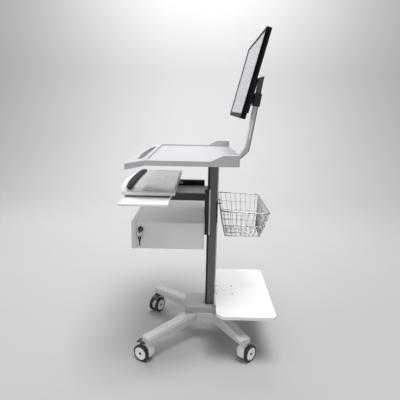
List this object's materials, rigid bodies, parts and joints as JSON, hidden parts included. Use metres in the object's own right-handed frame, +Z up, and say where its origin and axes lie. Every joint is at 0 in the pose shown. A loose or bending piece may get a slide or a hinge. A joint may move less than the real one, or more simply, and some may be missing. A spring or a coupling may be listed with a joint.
{
  "type": "mobile computer cart",
  "caption": "Height-fixed mobile computer workstation cart: worktop, monitor arm, sliding keyboard and mouse trays, locking drawer, wire basket, lower shelf, braked casters.",
  "frame": {"origin": "on the floor, at the centre of the cart's overall footprint", "axes": "+X towards the user's right, -Y towards the side the user stands on, +Z up"},
  "size_m": [0.729, 0.665, 1.3524],
  "materials": {
    "base_paint": "satin light grey-green powder coat",
    "base_cover_plastic": "satin grey moulded plastic",
    "zinc_steel": "zinc-plated steel",
    "caster_body": "light grey glossy plastic",
    "caster_disc": "white glossy plastic",
    "caster_tyre": "black polyurethane tread",
    "pedal_plastic": "dark grey plastic",
    "column_aluminium": "dark grey anodised extrusion",
    "black_strip": "black plastic strip",
    "white_strip": "white plastic strip",
    "black_paint": "black powder coat",
    "worktop_plastic": "white moulded plastic, fine texture",
    "arm_aluminium": "satin silver anodised",
    "screen_glass": "pale grey-lavender display, anti-glare",
    "bezel_plastic": "black bezel",
    "monitor_plastic": "black textured housing",
    "white_steel": "white powder coat",
    "tray_plastic": "white moulded plastic",
    "tray_surface": "glossy grey laminate",
    "wrist_fabric": "dark grey stretch cloth over gel",
    "chrome_wire": "bright chrome plated wire",
    "lock_metal": "nickel plated",
    "key_plastic": "black moulded key head"
  },
  "bodies": {
    "frame": {"base_cover": "base_cover_plastic", "base_hub": "base_paint", "basket_floor": "chrome_wire", "basket_hooks": "black_paint", "basket_hoops": "chrome_wire", "basket_wall_front": "chrome_wire", "basket_wall_left": "chrome_wire", "basket_wall_rear": "chrome_wire", "basket_wall_right": "chrome_wire", "caster_stems": "zinc_steel", "column": "column_aluminium", "column_bolts": "zinc_steel", "column_bracket": "black_paint", "column_cable_cover": "white_strip", "column_front_strip": "black_strip", "drawer_cabinet": "white_steel", "keyboard_bracket": "white_steel", "leg_front_left": "base_paint", "leg_front_right": "base_paint", "leg_rear_left": "base_paint", "leg_rear_right": "base_paint", "lock_body": "black_paint", "lower_shelf": "white_steel", "monitor_arm": "arm_aluminium", "panel_screws": "zinc_steel", "shelf_bracket": "white_steel", "slide_rails": "black_paint", "top_plate": "black_paint", "worktop": "worktop_plastic"},
    "caster_front_right": {"caster_housing_front_right": "caster_body"},
    "wheels_front_right": {"caster_wheels_front_right": "caster_disc", "caster_tyres_front_right": "caster_tyre"},
    "pedal_front_right": {"brake_pedal_front_right": "pedal_plastic"},
    "caster_front_left": {"caster_housing_front_left": "caster_body"},
    "wheels_front_left": {"caster_wheels_front_left": "caster_disc", "caster_tyres_front_left": "caster_tyre"},
    "pedal_front_left": {"brake_pedal_front_left": "pedal_plastic"},
    "caster_rear_right": {"caster_housing_rear_right": "caster_body"},
    "wheels_rear_right": {"caster_wheels_rear_right": "caster_disc", "caster_tyres_rear_right": "caster_tyre"},
    "caster_rear_left": {"caster_housing_rear_left": "caster_body"},
    "wheels_rear_left": {"caster_wheels_rear_left": "caster_disc", "caster_tyres_rear_left": "caster_tyre"},
    "keyboard_shelf": {"tray_runners": "zinc_steel", "keyboard_tray": "tray_plastic", "tray_mat": "tray_surface", "wrist_rest": "wrist_fabric"},
    "mouse_shelf": {"mouse_tray": "tray_plastic"},
    "drawer": {"drawer_tray": "white_steel", "drawer_front": "white_steel"},
    "height_clamp": {"arm_clamp": "black_paint", "clamp_pins": "zinc_steel"},
    "monitor": {"vesa_bracket": "black_paint", "vesa_screws": "zinc_steel", "monitor_back": "monitor_plastic", "monitor_bezel": "bezel_plastic", "screen_panel": "screen_glass"},
    "lock_turner": {"lock_plug": "lock_metal", "key": "key_plastic"},
    "hanging_key": {"spare_key": "key_plastic"}
  },
  "joints": [
    {"name": "swivel_front_right", "type": "hinge", "parent": "frame", "child": "caster_front_right", "pos_m": [0.1945, -0.2065, 0.08], "axis": [0, 0, 1], "continuous": true},
    {"name": "spin_front_right", "type": "hinge", "parent": "caster_front_right", "child": "wheels_front_right", "pos_m": [0.18008, -0.2305, 0.0375], "axis": [0.8572, -0.515, 0], "continuous": true},
    {"name": "brake_front_right", "type": "hinge", "parent": "caster_front_right", "child": "pedal_front_right", "pos_m": [0.1878, -0.21764, 0.086], "axis": [0.8572, -0.515, 0], "range_deg": [0, 10]},
    {"name": "swivel_front_left", "type": "hinge", "parent": "frame", "child": "caster_front_left", "pos_m": [-0.2655, -0.2065, 0.08], "axis": [0, 0, 1], "continuous": true},
    {"name": "spin_front_left", "type": "hinge", "parent": "caster_front_left", "child": "wheels_front_left", "pos_m": [-0.24125, -0.2205, 0.0375], "axis": [0.5, 0.866, 0], "continuous": true},
    {"name": "brake_front_left", "type": "hinge", "parent": "caster_front_left", "child": "pedal_front_left", "pos_m": [-0.25424, -0.213, 0.086], "axis": [0.5, 0.866, 0], "range_deg": [0, 10]},
    {"name": "swivel_rear_right", "type": "hinge", "parent": "frame", "child": "caster_rear_right", "pos_m": [0.1905, 0.1985, 0.08], "axis": [0, 0, 1], "continuous": true},
    {"name": "spin_rear_right", "type": "hinge", "parent": "caster_rear_right", "child": "wheels_rear_right", "pos_m": [0.17002, 0.2176, 0.0375], "axis": [-0.682, -0.7314, 0], "continuous": true},
    {"name": "swivel_rear_left", "type": "hinge", "parent": "frame", "child": "caster_rear_left", "pos_m": [-0.2615, 0.1985, 0.08], "axis": [0, 0, 1], "continuous": true},
    {"name": "spin_rear_left", "type": "hinge", "parent": "caster_rear_left", "child": "wheels_rear_left", "pos_m": [-0.27333, 0.22388, 0.0375], "axis": [-0.9063, -0.4226, 0], "continuous": true},
    {"name": "keyboard_tray_slide", "type": "slide", "parent": "frame", "child": "keyboard_shelf", "axis": [0, 1, 0], "range_m": [0, 0.1]},
    {"name": "mouse_tray_slide", "type": "slide", "parent": "keyboard_shelf", "child": "mouse_shelf", "axis": [1, 0, 0], "range_m": [-0.125, 0]},
    {"name": "drawer_slide", "type": "slide", "parent": "frame", "child": "drawer", "axis": [0, -1, 0], "range_m": [0, 0.19]},
    {"name": "monitor_height", "type": "slide", "parent": "frame", "child": "height_clamp", "axis": [0, 0.153, 0.9882], "range_m": [-0.08, 0.05]},
    {"name": "monitor_tilt", "type": "hinge", "parent": "height_clamp", "child": "monitor", "pos_m": [-0.0355, 0.21, 1.11], "axis": [1, 0, 0], "range_deg": [-4, 20]},
    {"name": "lock_turn", "type": "hinge", "parent": "frame", "child": "lock_turner", "pos_m": [0.1735, -0.2375, 0.591], "axis": [-1, 0, 0], "range_deg": [0, 90]},
    {"name": "spare_key_swing", "type": "hinge", "parent": "lock_turner", "child": "hanging_key", "pos_m": [0.2005, -0.2375, 0.591], "axis": [1, 0, 0], "range_deg": [-50, 50]}
  ]
}
